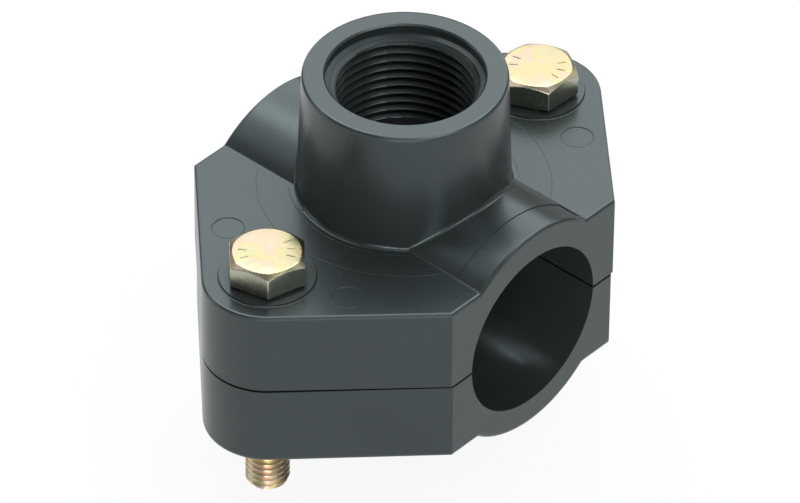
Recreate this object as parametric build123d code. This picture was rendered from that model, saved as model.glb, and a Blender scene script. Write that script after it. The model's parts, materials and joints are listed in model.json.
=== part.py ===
from build123d import *
import math
import os

# Tapping saddle: two moulded halves clamp round a pipe, and the upper half carries a threaded outlet.
# The origin is where the pipe axis (Y) crosses the outlet axis (Z). The bolts stand at -X and +X.

# ---------------------------------------------------------------- driving dimensions, mm and degrees
# Pipe seat and barrel
bore_radius = 16.0
barrel_radius = 21.35
half_length = 30.5

# Plan and height of the two halves; their plates are a little narrower at the ends than the barrel
bolt_offset = 35.3
upper_end_inset = 0.05
lower_end_inset = 0.5
upper_tip_radius = 11.45
lower_tip_radius = 11.4
upper_height = 16.3
lower_height = 16.3
parting_gap = 0.5

# Edge rounding; an outer rim is rounded in flat steps
web_fillet = 0.7
boss_base_fillet = 0.7
upper_rim_rounding = 0.6
lower_rim_rounding = 0.9
boss_rim_rounding = 0.75
rim_steps = 3
recess_rim_chamfer = 0.3

# Outlet boss, from its rim down to the pipe seat
boss_top = 40.4
boss_rim_radius = 18.1
boss_draft = 2.0
recess_radius = 14.0
recess_depth = 1.8
thread_radius = 13.22
thread_lead_in = 27.0
thread_depth = 19.5
passage_radius = 9.0

# Seal round the passage, in a groove that follows the pipe
seal_outer_radius = 13.1
seal_width = 2.8
seal_groove_depth = 2.4
seal_clearance = 0.08

# Marks that the mould leaves on the upper half
ejector_radius = 2.9
ejector_depth = 0.08
ejector_inset = 5.1
ejector_reach = 14.0
label_width = 4.5
label_edge = 1.4
label_angle = 78.0
label_depth = 0.15

# Bolts and nuts, M8
shank_radius = 3.95
shank_length = 46.4
shank_chamfer = 0.65
across_flats = 13.0
head_height = 5.3
head_top_radius = 5.93
washer_face_radius = 5.8
washer_face_height = 0.5
left_head_turn = 44.0
right_head_turn = 56.8
nut_height = 6.5
nut_turn = 30.0
nut_bore_clearance = 0.08
hexagon_chamfer = 30.0

# Seats for the bolts and nuts in the halves
bolt_hole_radius = 4.5
bolt_pad_radius = 8.45
bolt_pad_height = 0.45
parting_pad_radius = 7.0
pocket_clearance = 0.1
pocket_depth = 7.0

# ---------------------------------------------------------------- sizes that follow
bolt_places = {"left": -bolt_offset, "right": bolt_offset}
head_seat = upper_height + bolt_pad_height
pocket_floor = pocket_depth - lower_height
seal_inner_radius = seal_outer_radius - seal_width
boss_spread = math.tan(math.radians(boss_draft))
overcut = 1.0


def rounding_steps(rounding):
    """Rise and inset at the end of each step round a quarter turn of an outer rim."""
    turns = [math.pi / 2 * step / rim_steps for step in range(rim_steps + 1)]
    return [(rounding * math.sin(turn), rounding * (1 - math.cos(turn))) for turn in turns]


def round_off(body, outwards, rounding):
    """Carry a block on beyond its end face to a rounded rim, one tapered step after another."""
    steps = rounding_steps(rounding)
    for (rise, inset), (next_rise, next_inset) in zip(steps, steps[1:]):
        end = body.faces().sort_by(outwards)[-1]
        lean = math.degrees(math.atan2(next_inset - inset, next_rise - rise))
        body += extrude(end, next_rise - rise, taper=lean)
    return body


def flange_plan(end_inset, tip_radius):
    """Plan of one half, longer than it: a rhombus whose two side corners are rounded about the bolts."""
    half_width = barrel_radius - end_inset
    run = bolt_offset - half_width
    slope = math.atan2(half_length, run) - math.asin(tip_radius / math.hypot(run, half_length))
    apex = half_width + half_length / math.tan(slope)
    reach = apex * math.tan(slope)
    plan = Polygon((apex, 0), (0, reach), (-apex, 0), (0, -reach), align=None)
    tips = [v for v in plan.vertices() if abs(v.Y) < half_length / 2]
    return fillet(tips, tip_radius)


def along_pipe(radius, length):
    """A cylinder about the pipe axis."""
    return Rot(90, 0, 0) * Cylinder(radius, length)


def upright(x, radius, bottom, top):
    """A vertical cylinder about a bolt axis, between two heights."""
    return Pos(x, 0, bottom) * Cylinder(radius, top - bottom, align=(Align.CENTER, Align.CENTER, Align.MIN))


def hexagon(x, flats, bottom, top, turn):
    """A vertical hexagonal prism about a bolt axis, between two heights."""
    plan = RegularPolygon(flats / 2, 6, major_radius=False, rotation=turn)
    return Pos(x, 0, bottom) * extrude(plan, top - bottom)


def plate_and_barrel(plan, start, height, rounding):
    """One half over the pipe, standing on its parting face, with rounded rims and filleted webs."""
    wide = 4 * bolt_offset
    section = Circle(barrel_radius) + Pos(0, height) * Rectangle(wide, wide, align=(Align.CENTER, Align.MAX))
    webs = [v for v in section.vertices() if abs(v.Y - height) < 0.01 and abs(v.X) < barrel_radius]
    section = fillet(webs, web_fillet)
    section &= Pos(0, start - 2 * rounding) * Rectangle(wide, wide, align=(Align.CENTER, Align.MIN))
    along = extrude(Plane.XZ * section, half_length - rounding, both=True)
    along = round_off(along, Axis.Y, rounding)
    along = round_off(along, -Axis.Y, rounding)
    plate = extrude(Pos(0, 0, start) * plan, height - rounding - start)
    plate = round_off(plate, Axis.Z, rounding)
    web_reach = math.sqrt(barrel_radius**2 - height**2) + 2 * web_fillet
    barrel = Pos(0, 0, start + barrel_radius / 2) * Box(2 * web_reach, wide, barrel_radius)
    return along & (plate + barrel)


def boss_radius(height):
    """Outer radius of the drafted boss at a height."""
    return boss_rim_radius + (boss_top - height) * boss_spread


def outlet_boss():
    """The drafted boss, solid, with its outer rim rounded."""
    low = boss_top - boss_rim_rounding
    rim = [(boss_radius(low) - inset, low + rise) for rise, inset in rounding_steps(boss_rim_rounding)]
    profile = Polyline((0, 0), (boss_radius(0), 0), *rim, (0, boss_top), close=True)
    return revolve(Plane.XZ * make_face(profile), Axis.Z)


def add_boss(body):
    """Stand the outlet boss on the upper half and fillet the inner corner at its foot."""
    body = body + outlet_boss()

    def on_base(vertex):
        at_boss = abs(math.hypot(vertex.X, vertex.Y) - boss_radius(vertex.Z)) < 0.02
        return at_boss and upper_height - 0.01 < vertex.Z < barrel_radius + 0.01

    base = [e for e in body.edges() if all(on_base(v) for v in e.vertices())]
    return fillet(base, boss_base_fillet)


def outlet_space():
    """What the outlet leaves open: recess, lead-in, thread bore and the passage into the pipe."""
    recess_floor = boss_top - recess_depth
    lead_in_end = recess_floor - (recess_radius - thread_radius) * math.tan(math.radians(thread_lead_in))
    thread_floor = boss_top - thread_depth
    profile = Polyline(
        (0, 0),
        (passage_radius, 0),
        (passage_radius, thread_floor),
        (thread_radius, thread_floor),
        (thread_radius, lead_in_end),
        (recess_radius, recess_floor),
        (recess_radius, boss_top + overcut),
        (0, boss_top + overcut),
        close=True,
    )
    return revolve(Plane.XZ * make_face(profile), Axis.Z)


def saddle_ring(inner, outer, low, high):
    """A ring about the outlet axis whose faces follow the pipe, between two radii about its axis."""
    ring = Cylinder(outer, barrel_radius, align=(Align.CENTER, Align.CENTER, Align.MIN))
    ring -= Cylinder(inner, barrel_radius, align=(Align.CENTER, Align.CENTER, Align.MIN))
    shell = along_pipe(high, 4 * outer)
    if low > 0:
        shell -= along_pipe(low, 4 * outer)
    return ring & shell


def label_band():
    """The bare recessed band round the top of the barrel, close to its front end."""
    low = barrel_radius - label_depth
    middle = label_edge + label_width / 2 - half_length
    section = Pos(low, middle) * Rectangle(overcut, label_width, align=(Align.MIN, Align.CENTER))
    return Rot(0, -90 - label_angle / 2, 0) * revolve(section, Axis.Y, label_angle)


def ejector_marks():
    """The four shallow round marks on the plate, two beside each bolt."""
    spots = [(x, y) for x in (-1, 1) for y in (-1, 1)]
    marks = Part()
    for x, y in spots:
        disc = upright(x * (bolt_offset - ejector_inset), ejector_radius, upper_height - ejector_depth, head_seat)
        marks += Pos(0, y * ejector_reach, 0) * disc
    return marks


def make_upper_saddle():
    """Upper half: plate, half barrel and threaded outlet boss, one moulding."""
    plan = flange_plan(upper_end_inset, upper_tip_radius)
    body = add_boss(plate_and_barrel(plan, 0, upper_height, upper_rim_rounding))
    body -= along_pipe(bore_radius, 4 * half_length)
    body -= saddle_ring(seal_inner_radius, seal_outer_radius, 0, bore_radius + seal_groove_depth)
    body -= outlet_space()
    mouth = [e for e in body.edges().filter_by(GeomType.CIRCLE) if abs(e.radius - recess_radius) < 0.01]
    mouth = [e for e in mouth if abs(e.center().Z - boss_top) < 0.01]
    body = chamfer(mouth, recess_rim_chamfer)
    for x in bolt_places.values():
        body += upright(x, bolt_pad_radius, upper_height - overcut, head_seat)
        body -= upright(x, bolt_hole_radius, -overcut, head_seat + overcut)
    body -= ejector_marks()
    body -= label_band()
    return body


def make_lower_saddle():
    """Lower half: plate and half barrel, with a pad round each hole and a nut pocket underneath."""
    plan = flange_plan(lower_end_inset, lower_tip_radius)
    body = plate_and_barrel(plan, parting_gap, lower_height, lower_rim_rounding)
    body -= along_pipe(bore_radius, 4 * half_length)
    body = mirror(body, Plane.XY)
    for x in bolt_places.values():
        body += upright(x, parting_pad_radius, -parting_gap - overcut, 0)
        body -= upright(x, bolt_hole_radius, -lower_height - overcut, overcut)
        flats = across_flats + 2 * pocket_clearance
        body -= hexagon(x, flats, -lower_height - overcut, pocket_floor, nut_turn)
    return body


def make_outlet_seal():
    """Rubber ring that fills the groove and comes flush with the pipe seat."""
    inner = seal_inner_radius + seal_clearance
    outer = seal_outer_radius - seal_clearance
    return saddle_ring(inner, outer, bore_radius, bore_radius + seal_groove_depth - seal_clearance)


def chamfer_cone(x, bottom, top):
    """A cone that takes the corners off the top of a hexagon."""
    spread = (top - bottom) / math.tan(math.radians(hexagon_chamfer))
    cone = Cone(head_top_radius + spread, head_top_radius, top - bottom)
    return Pos(x, 0, (bottom + top) / 2) * cone


def make_bolt(x, turn):
    """Hexagon-head bolt with a washer face and a chamfered end."""
    head_base = head_seat + washer_face_height
    head_top = head_seat + head_height
    head = hexagon(x, across_flats, head_base, head_top, turn)
    head = head & chamfer_cone(x, head_base, head_top)
    shank = upright(x, shank_radius, head_seat - shank_length, head_seat + overcut)
    shank = chamfer(shank.edges().sort_by(Axis.Z)[0], shank_chamfer)
    return head + upright(x, washer_face_radius, head_seat, head_base) + shank


def make_nut(x):
    """Hexagon nut, chamfered on its open face, running on the bolt's shank."""
    bottom = pocket_floor - nut_height
    body = hexagon(x, across_flats, bottom, pocket_floor, nut_turn)
    middle = Plane.XY.offset((bottom + pocket_floor) / 2)
    body = body & mirror(chamfer_cone(x, bottom, pocket_floor), middle)
    return body - upright(x, shank_radius + nut_bore_clearance, bottom - overcut, pocket_floor + overcut)


def write(name, body):
    """Write one sub-part to its STEP file."""
    export_step(body, f"parts/{name}.step")


os.makedirs("parts", exist_ok=True)
write("upper_saddle", make_upper_saddle())
write("lower_saddle", make_lower_saddle())
write("outlet_seal", make_outlet_seal())
for (side, place), turn in zip(bolt_places.items(), (left_head_turn, right_head_turn)):
    write(f"bolt_{side}", make_bolt(place, turn))
    write(f"nut_{side}", make_nut(place))
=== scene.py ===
"""Tapping saddle: moulded dark grey halves, yellow-zinc bolts and a threaded outlet.

It is shown over a pale studio floor. Sizes named below are in millimetres, multiplied by MM where
they are used, and angles are in degrees. Noise scales are per metre, and the stage is in metres.
"""
import json
import math

import bmesh
import bpy
from mathutils import Matrix, Vector


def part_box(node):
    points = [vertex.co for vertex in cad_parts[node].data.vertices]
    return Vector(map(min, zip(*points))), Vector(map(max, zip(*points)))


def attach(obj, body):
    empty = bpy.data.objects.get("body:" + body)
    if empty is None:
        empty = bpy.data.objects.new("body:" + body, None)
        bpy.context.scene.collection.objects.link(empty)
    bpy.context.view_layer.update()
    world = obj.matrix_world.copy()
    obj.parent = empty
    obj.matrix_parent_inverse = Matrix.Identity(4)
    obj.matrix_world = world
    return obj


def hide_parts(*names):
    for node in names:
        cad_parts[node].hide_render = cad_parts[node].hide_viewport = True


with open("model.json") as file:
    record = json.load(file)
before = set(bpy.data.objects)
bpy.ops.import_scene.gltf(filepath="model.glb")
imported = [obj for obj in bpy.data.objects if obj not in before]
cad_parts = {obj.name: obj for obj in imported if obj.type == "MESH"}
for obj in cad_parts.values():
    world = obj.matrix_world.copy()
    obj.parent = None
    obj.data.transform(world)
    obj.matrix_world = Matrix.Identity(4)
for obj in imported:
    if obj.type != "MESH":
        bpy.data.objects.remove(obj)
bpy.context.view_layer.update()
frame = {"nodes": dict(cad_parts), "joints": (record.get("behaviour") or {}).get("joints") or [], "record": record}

MM = 0.001
TURN = 2 * math.pi
SIDES = ("left", "right")

# ---------------------------------------------------------------- read from the frame
JOINTS = {joint["name"]: joint for joint in frame["joints"]}
BOSS_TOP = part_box("upper_saddle")[1].z / MM
BOLT_AXES = {side: JOINTS[f"bolt_{side}_turn"]["pos_m"][0] / MM for side in SIDES}
BOLT_ENDS = {side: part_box(f"bolt_{side}")[0].z / MM for side in SIDES}
BOLT_TOPS = {side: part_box(f"bolt_{side}")[1].z / MM for side in SIDES}

# ---------------------------------------------------------------- sizes of the dressed pieces
# Threads: share of the pitch that is flat at the crest, and again at the root
THREAD_FLAT = 0.09

# Outlet thread, a right-hand 3/4 inch pipe thread, as a sleeve with a lead-in cone above
THREAD_PITCH = 1.814
THREAD_ROOT = 13.12
THREAD_CREST = 12.06
THREAD_END_DEPTH = 19.45
THREAD_COLUMNS = 144
THREAD_ROWS_A_TURN = 16
SLEEVE_OUTER = 13.17
SLEEVE_LEAST_WALL = 0.03
SLEEVE_TOP_GAP = 0.02
LEAD_IN_MOUTH = 14.0
LEAD_IN_DEPTH = 1.8
LEAD_IN_END = 12.36
LEAD_IN_ANGLE = 27.0
# The thread's crests keep the outside's plastic and sheen to this depth; below it the flanks and roots take a
# darker plastic with weaker specular, painted shade in the grooves
CREST_UNSHADED_DEPTH = 0.12

# Bolts, M8
BOLT_COLUMNS = 96
SHANK_RADIUS = 3.95
SHANK_RING_SHARES = (0.7, 0.4, 0.1)
SHANK_RING_RISE = 0.1
END_FACE_RADIUS = 1.5
SCREW_PITCH = 1.25
SCREW_ROOT = 3.25
SCREW_LENGTH = 24.0
SCREW_RUN_OUT = 2.5
SCREW_END_CHAMFER = 0.65
SCREW_ROWS_A_TURN = 10
ACROSS_FLATS = 13.0
HEAD_HEIGHT = 5.3
HEAD_TOP_RADIUS = 5.93
HEAD_CHAMFER_ANGLE = 30.0
CHAMFER_RING_SHARES = (0.66, 0.33)
TOP_RING_SHARES = (1, 0.6, 0.2)
WASHER_FACE_RADIUS = 5.8
WASHER_FACE_HEIGHT = 0.5
WORN_EDGE_WIDTH = 0.09
WORN_EDGE_ANGLE = 25.0
EDGE_TOLERANCE = 0.01
HEAD_TURNS = {"left": 44.0, "right": 56.8}

# Generic plain ticks on the bolt heads, at angles about each bolt's axis
MARK_TURNS = {"left": -38.0, "right": -65.0}
MARK_ANGLES = (-28, 0, 28, 166, 194)
MARK_RADIUS = 4.3
MARK_HEIGHT = 0.1
MARK_SUNK = 0.08
MARK_ROUNDING = 0.05
MARK_EDGE_ANGLE = 50.0
TICK_LENGTH = 1.5
TICK_WIDTH = 0.26

# Fine ridges that joints in the mould leave on the plates; a reach is an angle each way
PLATE_TOP = 16.3
RIDGE_WIDTH = 0.2
RIDGE_SHOULDER = 0.7
RIDGE_SUNK = 0.05
RIDGE_HEIGHT = 0.022
RIDGE_LEAST_STEPS = 24
RIDGE_DEGREES_A_STEP = 20.0
WITNESS_RADIUS = 25.92
WITNESS_REACH = 55.5
FOOT_LINE_RADIUS = 20.3
FOOT_LINE_REACH = 43.0
WHOLE_RING = 180.0

# Rims of the ejector marks, and the fillets at the foot of the pads under the bolt heads
EJECTOR_RADIUS = 2.9
EJECTOR_PLACE = (30.2, 14.0)
EJECTOR_RIM_HEIGHT = 0.03
PAD_RADIUS = 8.45
PAD_FILLET = 0.25
PAD_FOOT_STEPS = 6
PAD_FOOT_COLUMNS = 96
PAD_FOOT_SUNK = 0.05
PAD_FOOT_OVERLAP = 0.1

# Edges sharper than these angles stay crisp; bevels and weighted normals soften the rest
THREAD_CREASE = 70.0
BOLT_CREASE = 40.0
RIDGE_CREASE = 60.0
PAD_CREASE = 50.0
BEVEL_SEGMENTS = 2
FACE_AREA_WEIGHT = 100

# ---------------------------------------------------------------- finishes
# Colours, linear
PLASTIC_DARK = (0.0222, 0.0268, 0.0268)
PLASTIC_LIGHT = (0.0252, 0.0302, 0.0304)
PLASTIC_SHEEN = (0.85, 1.0, 1.03)
# Darker plastic for the outlet thread's flanks and roots: painted shade
PLASTIC_PAINTED_SHADE = (0.0200, 0.0225, 0.0218)
RUBBER_DARK = (0.010, 0.010, 0.010)
RUBBER_LIGHT = (0.020, 0.020, 0.021)
ZINC_OLIVE = (0.350, 0.320, 0.205)
ZINC_GOLD = (0.388, 0.325, 0.180)
ZINC_PINK = (0.398, 0.300, 0.225)
ZINC_PALE = (0.380, 0.340, 0.225)
# Lighter grey for upright faces: painted light
ZINC_UPRIGHT_PAINTED_LIGHT = (0.440, 0.445, 0.345)
ZINC_EDGE = (0.80, 0.80, 0.74)

# Where the colours sit along their noise
BLEND_LOW = 0.3
BLEND_HIGH = 0.7
ZINC_DRIFTS = [(0.30, ZINC_OLIVE), (0.44, ZINC_GOLD), (0.56, ZINC_PINK), (0.70, ZINC_PALE)]
EDGE_WEARS = [(0.3, ZINC_EDGE), (0.8, ZINC_PALE)]

# Colour noise: scale and detail
PLASTIC_FLOW = (60, 2)
RUBBER_BLOOM = (300, 3)
ZINC_DRIFT = (190, 2)
EDGE_WEAR = (420, 3)

# Roughness from noise: scale, detail, lowest and highest value
PLASTIC_GLOSS = (110, 2, 0.25, 0.30)
RUBBER_GLOSS = (500, 3, 0.65, 0.85)
ZINC_GLOSS = (600, 4, 0.20, 0.33)
EDGE_GLOSS = (600, 3, 0.25, 0.45)

# Bumps from noise: scale, detail, strength and depth in metres
PLASTIC_WAVES = (45, 1, 0.07, 0.0012)
PLASTIC_SKIN = (700, 2, 0.03, 0.00006)
RUBBER_SKIN = (2500, 2, 0.3, 0.00005)
ZINC_DENTS = (350, 2, 0.20, 0.0003)
ZINC_GRAIN = (2600, 2, 0.07, 0.00004)

PLASTIC_IOR = 1.5
PLASTIC_SPECULAR = 0.5
# Weaker specular of the painted-shade plastic in the thread's grooves
PAINTED_SHADE_SPECULAR = 0.14

# The mould's core leaves the pipe seat glossier, at this share of the outside's roughness
PIPE_SEAT_RADIUS = 16.1
SEAT_POLISH = 0.75

# The bolts' ends below the lower half are rougher and have their colour brightened, painted light on ends that sit
# in the lower half's shade; this fades in inside its holes
SCREW_END_FADE = (-12.0, -16.0)
SCREW_END_PAINTED_GAIN = 2.1
SCREW_END_ROUGHNESS = 0.14

# Sockets of the Mix node when it mixes colours
MIX_FIRST_COLOUR = 6
MIX_SECOND_COLOUR = 7
MIX_COLOUR_RESULT = 2

# ---------------------------------------------------------------- stage, metres and degrees
# The floor stays clear of the lower half where the clamp is open
FLOOR_HEIGHT = -0.0355
FLOOR_SIDE = 6.0
FLOOR_WHITE = 0.82
FLOOR_SHADOW = 0.08
ROOM_GLOSS = 0.1

CAMERA_AZIMUTH = -48.339
CAMERA_ELEVATION = 39.395
CAMERA_ROLL = 0.660
CAMERA_DISTANCE = 1.42871
CAMERA_SHIFT = (-0.000574, 0.000406)
CAMERA_LENS = 364.01
CAMERA_SENSOR = 36.0
CAMERA_CLIP = (0.1, 20.0)

# Softboxes on a sphere round the object: turn from the camera, elevation, size and power in watts
LAMP_DISTANCE = 1.0
LAMP_COLOUR = (0.95, 1.0, 1.01)
SOFTBOXES = [
    ("back_softbox", 180, 40, (1.0, 0.8), 6.4),
    ("high_back_softbox", 180, 68, (0.8, 0.5), 4.9),
    ("low_front_softbox", 0, 8, (0.6, 0.4), 4.9),
    ("high_right_softbox", 45, 55, (0.5, 0.5), 3.4),
    ("high_front_softbox", 0, 58, (0.6, 0.5), 1.2),
    ("back_right_softbox", 130, 38, (0.6, 0.7), 1.4),
    ("low_left_softbox", 262, 15, (0.35, 0.6), 1.1),
    ("right_softbox", 80, 40, (0.6, 0.7), 0.7),
    ("back_left_softbox", 230, 38, (0.6, 0.7), 0.6),
    ("high_left_softbox", 240, 60, (0.5, 0.5), 1.0),
]


# ---------------------------------------------------------------- node helpers
def new_material(name):
    """A material whose tree holds only a Principled shader and an output."""
    material = bpy.data.materials.new(name)
    material.use_nodes = True
    tree = material.node_tree
    tree.nodes.clear()
    shader = tree.nodes.new("ShaderNodeBsdfPrincipled")
    output = tree.nodes.new("ShaderNodeOutputMaterial")
    tree.links.new(shader.outputs["BSDF"], output.inputs["Surface"])
    return material, tree, shader


def add_noise(tree, scale, detail):
    """Noise over the row frame, which a CAD node and a dressed piece share."""
    place = tree.nodes.new("ShaderNodeTexCoord")
    noise = tree.nodes.new("ShaderNodeTexNoise")
    noise.inputs["Scale"].default_value = scale
    noise.inputs["Detail"].default_value = detail
    tree.links.new(place.outputs["Object"], noise.inputs["Vector"])
    return noise.outputs["Fac"]


def add_reach(tree, axes):
    """Distance from the origin over some of the row frame's axes."""
    place = tree.nodes.new("ShaderNodeTexCoord")
    kept = tree.nodes.new("ShaderNodeVectorMath")
    kept.operation = "MULTIPLY"
    kept.inputs[1].default_value = axes
    reach = tree.nodes.new("ShaderNodeVectorMath")
    reach.operation = "LENGTH"
    tree.links.new(place.outputs["Object"], kept.inputs[0])
    tree.links.new(kept.outputs["Vector"], reach.inputs[0])
    return reach.outputs["Value"]


def add_height(tree, vector):
    """The Z of a vector socket."""
    parts = tree.nodes.new("ShaderNodeSeparateXYZ")
    tree.links.new(vector, parts.inputs["Vector"])
    return parts.outputs["Z"]


def add_ramp(tree, factor, stops):
    """A colour ramp over a factor; stops are (position, colour)."""
    ramp = tree.nodes.new("ShaderNodeValToRGB")
    while len(ramp.color_ramp.elements) < len(stops):
        ramp.color_ramp.elements.new(0.5)
    for element, (position, colour) in zip(ramp.color_ramp.elements, stops):
        element.position = position
        element.color = (*colour, 1.0)
    tree.links.new(factor, ramp.inputs["Fac"])
    return ramp.outputs["Color"]


def add_range(tree, factor, low, high):
    """Maps a factor from 0..1 to low..high."""
    mapped = tree.nodes.new("ShaderNodeMapRange")
    mapped.inputs["To Min"].default_value = low
    mapped.inputs["To Max"].default_value = high
    tree.links.new(factor, mapped.inputs["Value"])
    return mapped.outputs["Result"]


def add_math(tree, operation, first, second):
    """A math node over two sockets or numbers."""
    node = tree.nodes.new("ShaderNodeMath")
    node.operation = operation
    for socket, value in zip(node.inputs, (first, second)):
        if isinstance(value, (int, float)):
            socket.default_value = value
        else:
            tree.links.new(value, socket)
    return node.outputs["Value"]


def add_gloss(tree, texture):
    """Roughness that varies with noise."""
    scale, detail, low, high = texture
    return add_range(tree, add_noise(tree, scale, detail), low, high)


def add_bump(tree, texture, under=None):
    """A bump from noise, laid over another bump if one is given."""
    scale, detail, strength, depth = texture
    bump = tree.nodes.new("ShaderNodeBump")
    bump.inputs["Strength"].default_value = strength
    bump.inputs["Distance"].default_value = depth
    tree.links.new(add_noise(tree, scale, detail), bump.inputs["Height"])
    if under is not None:
        tree.links.new(under, bump.inputs["Normal"])
    return bump.outputs["Normal"]


# ---------------------------------------------------------------- materials
def saddle_plastic(name, dark, light, specular):
    """Semi-gloss polypropylene with flow marks and a fine skin, glossier in the pipe seat."""
    material, tree, shader = new_material(name)
    flow = [(BLEND_LOW, dark), (BLEND_HIGH, light)]
    colour = add_ramp(tree, add_noise(tree, *PLASTIC_FLOW), flow)
    tree.links.new(colour, shader.inputs["Base Color"])
    in_seat = add_math(tree, "LESS_THAN", add_reach(tree, (1, 0, 1)), PIPE_SEAT_RADIUS * MM)
    polish = add_range(tree, in_seat, 1.0, SEAT_POLISH)
    gloss = add_math(tree, "MULTIPLY", add_gloss(tree, PLASTIC_GLOSS), polish)
    tree.links.new(gloss, shader.inputs["Roughness"])
    shader.inputs["IOR"].default_value = PLASTIC_IOR
    shader.inputs["Specular IOR Level"].default_value = specular
    shader.inputs["Specular Tint"].default_value = (*PLASTIC_SHEEN, 1.0)
    skin = add_bump(tree, PLASTIC_SKIN, add_bump(tree, PLASTIC_WAVES))
    tree.links.new(skin, shader.inputs["Normal"])
    return material


def seal_rubber():
    """Matte black rubber with a faint bloom."""
    material, tree, shader = new_material("seal_rubber")
    bloom = [(BLEND_LOW, RUBBER_DARK), (BLEND_HIGH, RUBBER_LIGHT)]
    colour = add_ramp(tree, add_noise(tree, *RUBBER_BLOOM), bloom)
    tree.links.new(colour, shader.inputs["Base Color"])
    tree.links.new(add_gloss(tree, RUBBER_GLOSS), shader.inputs["Roughness"])
    tree.links.new(add_bump(tree, RUBBER_SKIN), shader.inputs["Normal"])
    return material


def yellow_zinc():
    """Yellow-passivated zinc: pale gold drifting to pink and olive, with a lighter grey painted on upright faces
    and a brightened screw end, both painted light.
    """
    material, tree, shader = new_material("yellow_zinc")
    place = tree.nodes.new("ShaderNodeTexCoord")
    fade = tree.nodes.new("ShaderNodeMapRange")
    fade.inputs["From Min"].default_value = SCREW_END_FADE[0] * MM
    fade.inputs["From Max"].default_value = SCREW_END_FADE[1] * MM
    tree.links.new(add_height(tree, place.outputs["Object"]), fade.inputs["Value"])
    on_end = fade.outputs["Result"]

    # Faces that look up or down, and the whole screw end, take the drifting colours; upright faces take a lighter
    # grey, painted light
    lying = add_math(tree, "ABSOLUTE", add_height(tree, place.outputs["Normal"]), 0.0)
    hue = tree.nodes.new("ShaderNodeMix")
    hue.data_type = "RGBA"
    hue.inputs[MIX_FIRST_COLOUR].default_value = (*ZINC_UPRIGHT_PAINTED_LIGHT, 1.0)
    drifting = add_ramp(tree, add_noise(tree, *ZINC_DRIFT), ZINC_DRIFTS)
    tree.links.new(drifting, hue.inputs[MIX_SECOND_COLOUR])
    tree.links.new(add_math(tree, "MAXIMUM", lying, on_end), hue.inputs["Factor"])

    # Painted light: the colour is brightened over the screw end
    painted_end_light = tree.nodes.new("ShaderNodeVectorMath")
    painted_end_light.operation = "SCALE"
    tree.links.new(hue.outputs[MIX_COLOUR_RESULT], painted_end_light.inputs[0])
    tree.links.new(add_range(tree, on_end, 1.0, SCREW_END_PAINTED_GAIN), painted_end_light.inputs["Scale"])
    tree.links.new(painted_end_light.outputs["Vector"], shader.inputs["Base Color"])
    shader.inputs["Metallic"].default_value = 1.0
    rougher = add_math(tree, "MULTIPLY", on_end, SCREW_END_ROUGHNESS)
    finish = add_math(tree, "ADD", add_gloss(tree, ZINC_GLOSS), rougher)
    tree.links.new(finish, shader.inputs["Roughness"])
    grain = add_bump(tree, ZINC_GRAIN, add_bump(tree, ZINC_DENTS))
    tree.links.new(grain, shader.inputs["Normal"])
    return material


def zinc_edge():
    """The worn edges of the bolt heads, rubbed to bright metal."""
    material, tree, shader = new_material("zinc_edge")
    colour = add_ramp(tree, add_noise(tree, *EDGE_WEAR), EDGE_WEARS)
    tree.links.new(colour, shader.inputs["Base Color"])
    shader.inputs["Metallic"].default_value = 1.0
    tree.links.new(add_gloss(tree, EDGE_GLOSS), shader.inputs["Roughness"])
    return material


def add_sight(tree):
    """1 where the camera, a reflection or glass sees a surface, and 0 for the light it gives."""
    path = tree.nodes.new("ShaderNodeLightPath")
    camera, glossy = path.outputs["Is Camera Ray"], path.outputs["Is Glossy Ray"]
    straight = add_math(tree, "MAXIMUM", camera, glossy)
    return add_math(tree, "MAXIMUM", straight, path.outputs["Is Transmission Ray"])


def floor_white():
    """A pale floor, white to the eye but for a faint shadow, that gives light as a diffuse white."""
    material = bpy.data.materials.new("floor_white")
    material.use_nodes = True
    tree = material.node_tree
    tree.nodes.clear()
    diffuse = tree.nodes.new("ShaderNodeBsdfDiffuse")
    diffuse.inputs["Color"].default_value = (FLOOR_WHITE, FLOOR_WHITE, FLOOR_WHITE, 1)
    white = tree.nodes.new("ShaderNodeEmission")
    white.inputs["Color"].default_value = (1, 1, 1, 1)
    white.inputs["Strength"].default_value = 1.0
    shadowed = tree.nodes.new("ShaderNodeMixShader")
    shadowed.inputs["Fac"].default_value = FLOOR_SHADOW
    mix = tree.nodes.new("ShaderNodeMixShader")
    output = tree.nodes.new("ShaderNodeOutputMaterial")
    tree.links.new(white.outputs["Emission"], shadowed.inputs[1])
    tree.links.new(diffuse.outputs["BSDF"], shadowed.inputs[2])
    tree.links.new(add_sight(tree), mix.inputs["Fac"])
    tree.links.new(diffuse.outputs["BSDF"], mix.inputs[1])
    tree.links.new(shadowed.outputs["Shader"], mix.inputs[2])
    tree.links.new(mix.outputs["Shader"], output.inputs["Surface"])
    return material


# ---------------------------------------------------------------- mesh helpers
def face_outwards(mesh):
    """Turns every face of a closed mesh outwards."""
    shape = bmesh.new()
    shape.from_mesh(mesh)
    bmesh.ops.recalc_face_normals(shape, faces=shape.faces)
    shape.to_mesh(mesh)
    shape.free()


def place_mesh(name, mesh, material):
    """Puts a finished mesh into the scene as a piece of its own."""
    mesh.materials.append(material)
    face_outwards(mesh)
    piece = bpy.data.objects.new(name, mesh)
    bpy.context.scene.collection.objects.link(piece)
    return piece


def lathe(name, rings, columns, material, closed_section=False):
    """A piece from rings of points.

    A closed section joins the last ring to the first; an open one is capped at both ends.
    """
    vertices = [point for ring in rings for point in ring]
    faces = []
    count = len(rings)
    for i in range(count if closed_section else count - 1):
        low, high = i * columns, (i + 1) % count * columns
        for j in range(columns):
            k = (j + 1) % columns
            faces.append((low + j, low + k, high + k, high + j))
    if not closed_section:
        faces.append(tuple(reversed(range(columns))))
        faces.append(tuple(range((count - 1) * columns, count * columns)))
    mesh = bpy.data.meshes.new(name)
    mesh.from_pydata(vertices, [], faces)
    mesh.validate()
    return place_mesh(name, mesh, material)


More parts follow.
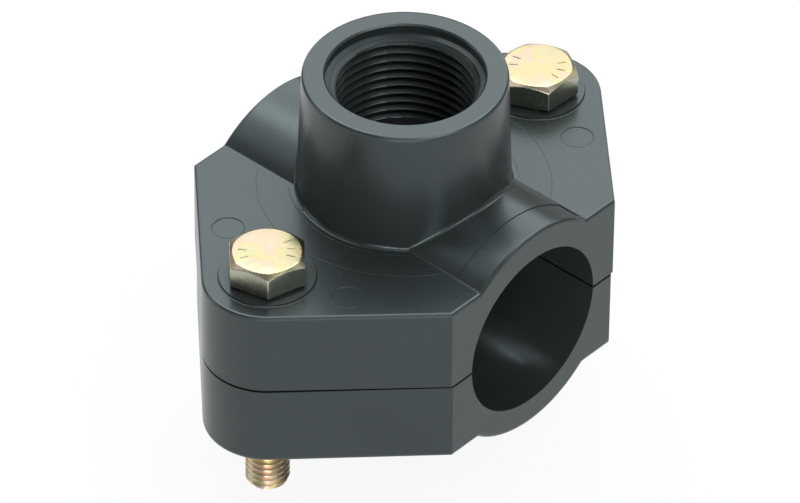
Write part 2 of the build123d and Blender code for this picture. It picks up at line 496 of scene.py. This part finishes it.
def shade(piece, angle):
    """Smooth shading, with edges sharper than an angle kept crisp."""
    for polygon in piece.data.polygons:
        polygon.use_smooth = True
    bpy.context.view_layer.objects.active = piece
    piece.select_set(True)
    bpy.ops.object.shade_smooth_by_angle(angle=math.radians(angle))
    piece.select_set(False)


def round_edges(piece, width, angle):
    """A small bevel on the edges sharper than an angle."""
    bevel = piece.modifiers.new("edges", "BEVEL")
    bevel.width = width * MM
    bevel.segments = BEVEL_SEGMENTS
    bevel.limit_method = "ANGLE"
    bevel.angle_limit = math.radians(angle)


def wear_head_edges(piece, base, top):
    """A small bevel, in the second material, on a bolt head's sharp edges below its top face."""
    shape = bmesh.new()
    shape.from_mesh(piece.data)
    weight = shape.edges.layers.float.new("bevel_weight_edge")
    for edge in shape.edges:
        heights = [corner.co.z / MM for corner in edge.verts]
        on_head = min(heights) > base - EDGE_TOLERANCE and max(heights) < top - EDGE_TOLERANCE
        if on_head and edge.calc_face_angle(0.0) > math.radians(WORN_EDGE_ANGLE):
            edge[weight] = 1.0
    shape.to_mesh(piece.data)
    shape.free()
    bevel = piece.modifiers.new("edges", "BEVEL")
    bevel.width = WORN_EDGE_WIDTH * MM
    bevel.segments = BEVEL_SEGMENTS
    bevel.limit_method = "WEIGHT"
    bevel.material = 1


def flatten_normals(piece):
    """Keeps large flat faces flat to the light, so that the small bevels carry the turn."""
    weighted = piece.modifiers.new("normals", "WEIGHTED_NORMAL")
    weighted.keep_sharp = True
    weighted.weight = FACE_AREA_WEIGHT


def ring_at(columns, radius, height, centre=(0, 0), turn=0.0):
    """A ring of points; radius and height are numbers or functions of the angle."""
    points = []
    for j in range(columns):
        angle = TURN * j / columns + turn
        r = radius(angle) if callable(radius) else radius
        x = centre[0] + r * math.cos(angle)
        y = centre[1] + r * math.sin(angle)
        z = height(angle) if callable(height) else height
        points.append((x * MM, y * MM, z * MM))
    return points


def thread_wave(phase):
    """A thread's profile over one turn: 1 at the narrow crest, 0 at the narrow root."""
    triangle = 1 - abs(2 * (phase % 1.0) - 1)
    return max(0.0, min(1.0, (triangle - THREAD_FLAT) / (1 - 2 * THREAD_FLAT)))


def direction_in_plan(angle):
    """Unit vector in the floor's plane at an angle from +X, in degrees."""
    return Vector((math.cos(math.radians(angle)), math.sin(math.radians(angle)), 0))


# ---------------------------------------------------------------- pieces
def outlet_thread(material, painted_shade_material):
    """The thread inside the boss: a thin sleeve on the bore's wall, with the lead-in above it; its flanks and
    roots take a darker plastic, painted shade.
    """
    slope = math.tan(math.radians(LEAD_IN_ANGLE))
    cone_top = BOSS_TOP - LEAD_IN_DEPTH
    sleeve_top = cone_top - (LEAD_IN_MOUTH - SLEEVE_OUTER) * slope
    cone_end = cone_top - (LEAD_IN_MOUTH - LEAD_IN_END) * slope
    bottom = BOSS_TOP - THREAD_END_DEPTH

    def inner(height):
        cone = LEAD_IN_END + (height - cone_end) / slope if height > cone_end else 0

        def radius(angle):
            wave = thread_wave(height / THREAD_PITCH - angle / TURN)
            thread = THREAD_ROOT - (THREAD_ROOT - THREAD_CREST) * wave
            return min(SLEEVE_OUTER - SLEEVE_LEAST_WALL, max(thread, cone))

        return radius

    step = THREAD_PITCH / THREAD_ROWS_A_TURN
    rows = int((sleeve_top - bottom) / step)
    heights = [sleeve_top - SLEEVE_TOP_GAP - step * i for i in range(rows)] + [bottom]
    rings = [ring_at(THREAD_COLUMNS, inner(height), height) for height in heights]
    rings += [ring_at(THREAD_COLUMNS, SLEEVE_OUTER, height) for height in (bottom, sleeve_top)]
    rings.reverse()
    sleeve = lathe("outlet_thread", rings, THREAD_COLUMNS, material, closed_section=True)
    sleeve.data.materials.append(painted_shade_material)
    # Faces deeper than the crests take the darker plastic, painted shade in the thread's grooves
    for polygon in sleeve.data.polygons:
        reach = math.hypot(polygon.center.x, polygon.center.y) / MM
        in_thread = polygon.center.z / MM < cone_end
        polygon.material_index = 1 if in_thread and reach > THREAD_CREST + CREST_UNSHADED_DEPTH else 0
    shade(sleeve, THREAD_CREASE)
    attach(sleeve, "upper")


def hexagon_radius(angle, turn):
    """Distance from a hexagon's centre to its outline in a direction."""
    within = (angle - math.radians(turn)) % (TURN / 6) - TURN / 12
    return ACROSS_FLATS / 2 / math.cos(within)


def bolt(side, material, edge_material):
    """A hexagon-head bolt with a rolled thread on its lower end."""
    turn = HEAD_TURNS[side]
    end, top = BOLT_ENDS[side], BOLT_TOPS[side]
    screw_top = end + SCREW_LENGTH
    seat = top - HEAD_HEIGHT
    head_base = seat + WASHER_FACE_HEIGHT
    fall = math.tan(math.radians(HEAD_CHAMFER_ANGLE))

    def screw(height):
        fade = min(1.0, max(0.0, (screw_top - height) / SCREW_RUN_OUT))
        cone = SHANK_RADIUS - max(0.0, end + SCREW_END_CHAMFER - height)

        def radius(angle):
            wave = thread_wave(height / SCREW_PITCH - angle / TURN)
            depth = (SHANK_RADIUS - SCREW_ROOT) * (1 - wave) * fade
            return min(SHANK_RADIUS - depth, cone)

        return radius

    def outline(share):
        """The hexagon at share 1, drawn in to the round top face at share 0."""
        def radius(angle):
            return HEAD_TOP_RADIUS + share * (hexagon_radius(angle, turn) - HEAD_TOP_RADIUS)

        return radius

    def chamfer_height(share):
        def height(angle):
            return top - (outline(share)(angle) - HEAD_TOP_RADIUS) * fall

        return height

    def ring(radius, height):
        return ring_at(BOLT_COLUMNS, radius, height, (BOLT_AXES[side], 0), math.radians(turn))

    step = SCREW_PITCH / SCREW_ROWS_A_TURN
    threaded = [end + step * i for i in range(1, int(SCREW_LENGTH / step) + 1)]
    plain = [seat + SHANK_RING_RISE - (seat - screw_top) * share for share in SHANK_RING_SHARES]
    rings = [ring(END_FACE_RADIUS, end), ring(SHANK_RADIUS - SCREW_END_CHAMFER, end)]
    rings += [ring(screw(height), height) for height in threaded]
    rings += [ring(SHANK_RADIUS, height) for height in (*plain, seat)]
    rings += [ring(WASHER_FACE_RADIUS, height) for height in (seat, head_base)]
    rings += [ring(outline(1), head_base)]
    rings += [ring(outline(share), chamfer_height(share)) for share in (1, *CHAMFER_RING_SHARES)]
    rings += [ring(HEAD_TOP_RADIUS * share, top) for share in TOP_RING_SHARES]
    piece = lathe(f"bolt_{side}_body", rings, BOLT_COLUMNS, material)
    piece.data.materials.append(edge_material)
    wear_head_edges(piece, head_base, top)
    shade(piece, BOLT_CREASE)
    flatten_normals(piece)
    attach(piece, f"bolt_{side}")
    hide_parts(f"bolt_{side}")


def head_marks(side, material):
    """Generic raised marks on a bolt head: short plain ticks on two sides of the face."""
    centre = Vector((BOLT_AXES[side], 0, BOLT_TOPS[side]))
    sunk, raised = Vector((0, 0, -MARK_SUNK)), Vector((0, 0, MARK_HEIGHT))
    corners = [(-0.5, -0.5), (0.5, -0.5), (0.5, 0.5), (-0.5, 0.5)]
    shapes = bmesh.new()
    for angle in MARK_ANGLES:
        out = direction_in_plan(MARK_TURNS[side] + angle)
        across = Vector((-out.y, out.x, 0))
        foot = [out * (MARK_RADIUS + TICK_LENGTH * u) + across * TICK_WIDTH * v for u, v in corners]
        low = [shapes.verts.new((centre + point + sunk) * MM) for point in foot]
        high = [shapes.verts.new((centre + point + raised) * MM) for point in foot]
        shapes.faces.new(list(reversed(low)))
        shapes.faces.new(high)
        for j in range(4):
            k = (j + 1) % 4
            shapes.faces.new((low[j], low[k], high[k], high[j]))
    mesh = bpy.data.meshes.new(f"head_marks_{side}")
    shapes.to_mesh(mesh)
    shapes.free()
    marks = place_mesh(f"head_marks_{side}", mesh, material)
    round_edges(marks, MARK_ROUNDING, MARK_EDGE_ANGLE)
    shade(marks, BOLT_CREASE)
    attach(marks, f"bolt_{side}")


def ridge(name, centre, radius, middle, reach, height, material):
    """A fine raised line on a plate: an arc, or a whole ring at a reach of half a turn."""
    whole = reach >= WHOLE_RING
    steps = max(RIDGE_LEAST_STEPS, int(radius * reach / RIDGE_DEGREES_A_STEP))
    half = RIDGE_WIDTH / 2
    inner, outer = -half * RIDGE_SHOULDER, half * RIDGE_SHOULDER
    shoulder = height * RIDGE_SHOULDER
    section = [(-half, -RIDGE_SUNK), (inner, shoulder), (0, height)]
    section += [(outer, shoulder), (half, -RIDGE_SUNK)]
    place = Vector((*centre, PLATE_TOP))
    rings = []
    for i in range(steps if whole else steps + 1):
        out = direction_in_plan(middle - reach + 2 * reach * i / steps)
        rings.append([(place + out * (radius + r) + Vector((0, 0, z))) * MM for r, z in section])
    line = lathe(name, rings, len(section), material, closed_section=whole)
    shade(line, RIDGE_CREASE)
    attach(line, "upper")


def mould_marks(side, material):
    """The fine lines on one plate: the witness circle, the boss's foot and the ejector marks."""
    middle, outwards = {"left": (180, -1), "right": (0, 1)}[side]
    arcs = [
        ("witness_line", WITNESS_RADIUS, WITNESS_REACH),
        ("foot_line", FOOT_LINE_RADIUS, FOOT_LINE_REACH),
    ]
    for name, radius, reach in arcs:
        ridge(f"{name}_{side}", (0, 0), radius, middle, reach, RIDGE_HEIGHT, material)
    for end, backwards in (("front", -1), ("back", 1)):
        name = f"ejector_rim_{side}_{end}"
        centre = (outwards * EJECTOR_PLACE[0], backwards * EJECTOR_PLACE[1])
        ridge(name, centre, EJECTOR_RADIUS, 0, WHOLE_RING, EJECTOR_RIM_HEIGHT, material)


def pad_foot(side, material):
    """The small hollow fillet where a bolt's pad meets the plate."""
    profile = []
    for i in range(PAD_FOOT_STEPS + 1):
        turn = math.radians(90 * i / PAD_FOOT_STEPS)
        radius = PAD_RADIUS + PAD_FILLET * (1 - math.sin(turn))
        profile.append((radius, PLATE_TOP + PAD_FILLET * (1 - math.cos(turn))))
    inside, below = PAD_RADIUS - PAD_FOOT_OVERLAP, PLATE_TOP - PAD_FOOT_SUNK
    profile += [(inside, PLATE_TOP + PAD_FILLET), (inside, below), (PAD_RADIUS + PAD_FILLET, below)]
    centre = (BOLT_AXES[side], 0)
    rings = [ring_at(PAD_FOOT_COLUMNS, radius, height, centre) for radius, height in profile]
    foot = lathe(f"pad_foot_{side}", rings, PAD_FOOT_COLUMNS, material, closed_section=True)
    shade(foot, PAD_CREASE)
    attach(foot, "upper")


def dress_cad_nodes(plastic, rubber, zinc):
    """Gives each CAD node that stays its finish."""
    finishes = {"saddle_plastic": plastic, "seal_rubber": rubber, "zinc_steel": zinc}
    for subpart in frame["record"]["subparts"]:
        node = frame["nodes"][subpart["node"]]
        for material_slot in node.material_slots:
            material_slot.material = finishes[subpart["material_slot"]]


# ---------------------------------------------------------------- stage, light and camera
def direction(azimuth, elevation):
    """Unit vector from the object towards an azimuth and elevation, in degrees."""
    a, e = math.radians(azimuth), math.radians(elevation)
    return Vector((math.sin(a) * math.cos(e), -math.cos(a) * math.cos(e), math.sin(e)))


def add_floor():
    """A plain pale floor under the object."""
    mesh = bpy.data.meshes.new("floor")
    half = FLOOR_SIDE / 2
    corners = [(-half, -half), (half, -half), (half, half), (-half, half)]
    mesh.from_pydata([(x, y, FLOOR_HEIGHT) for x, y in corners], [], [(0, 1, 2, 3)])
    mesh.materials.append(floor_white())
    floor = bpy.data.objects.new("floor", mesh)
    bpy.context.scene.collection.objects.link(floor)


def add_softbox(name, azimuth, elevation, size, power):
    """A faintly cool area light that faces the object from a direction."""
    light = bpy.data.lights.new(name, "AREA")
    light.shape = "RECTANGLE"
    light.size, light.size_y = size
    light.energy = power
    light.color = LAMP_COLOUR
    lamp = bpy.data.objects.new(name, light)
    back = direction(azimuth, elevation)
    lamp.location = back * LAMP_DISTANCE
    lamp.rotation_mode = "QUATERNION"
    lamp.rotation_quaternion = back.to_track_quat("Z", "Y")
    bpy.context.scene.collection.objects.link(lamp)


def add_world():
    """White behind everything the camera sees, and a dim pale room in reflections."""
    world = bpy.data.worlds.new("studio")
    world.use_nodes = True
    tree = world.node_tree
    tree.nodes.clear()
    path = tree.nodes.new("ShaderNodeLightPath")
    reflected = add_math(tree, "MULTIPLY", path.outputs["Is Glossy Ray"], ROOM_GLOSS)
    through = add_math(tree, "MAXIMUM", reflected, path.outputs["Is Transmission Ray"])
    strength = add_math(tree, "MAXIMUM", through, path.outputs["Is Camera Ray"])
    white = tree.nodes.new("ShaderNodeBackground")
    white.inputs["Color"].default_value = (1, 1, 1, 1)
    output = tree.nodes.new("ShaderNodeOutputWorld")
    tree.links.new(strength, white.inputs["Strength"])
    tree.links.new(white.outputs["Background"], output.inputs["Surface"])
    bpy.context.scene.world = world


def add_camera():
    """A long lens from the front left, rolled a little."""
    back = direction(CAMERA_AZIMUTH, CAMERA_ELEVATION)
    right = (-back).cross(Vector((0, 0, 1))).normalized()
    up = right.cross(-back)
    roll = math.radians(CAMERA_ROLL)
    side = right * math.cos(roll) + up * math.sin(roll)
    top = up * math.cos(roll) - right * math.sin(roll)
    data = bpy.data.cameras.new("camera")
    data.lens = CAMERA_LENS
    data.sensor_width = CAMERA_SENSOR
    data.clip_start, data.clip_end = CAMERA_CLIP
    camera = bpy.data.objects.new("camera", data)
    turn = Matrix((side, top, back)).transposed().to_4x4()
    place = back * CAMERA_DISTANCE + right * CAMERA_SHIFT[0] + up * CAMERA_SHIFT[1]
    camera.matrix_world = Matrix.Translation(place) @ turn
    bpy.context.scene.collection.objects.link(camera)
    bpy.context.scene.camera = camera


# ---------------------------------------------------------------- the scene
plastic = saddle_plastic("saddle_plastic", PLASTIC_DARK, PLASTIC_LIGHT, PLASTIC_SPECULAR)
# A darker copy of the plastic with weaker specular, for painted shade in the outlet thread's grooves
painted_shade_plastic = saddle_plastic("saddle_plastic_painted_shade", PLASTIC_PAINTED_SHADE, PLASTIC_DARK, PAINTED_SHADE_SPECULAR)
rubber = seal_rubber()
zinc = yellow_zinc()
worn_zinc = zinc_edge()

dress_cad_nodes(plastic, rubber, zinc)
outlet_thread(plastic, painted_shade_plastic)
for bolt_side in SIDES:
    bolt(bolt_side, zinc, worn_zinc)
    head_marks(bolt_side, zinc)
    mould_marks(bolt_side, plastic)
    pad_foot(bolt_side, plastic)

add_floor()
add_world()
for lamp_name, lamp_turn, lamp_height, lamp_size, lamp_power in SOFTBOXES:
    add_softbox(lamp_name, CAMERA_AZIMUTH + lamp_turn, lamp_height, lamp_size, lamp_power)
add_camera()
bpy.context.scene.view_settings.view_transform = "Standard"
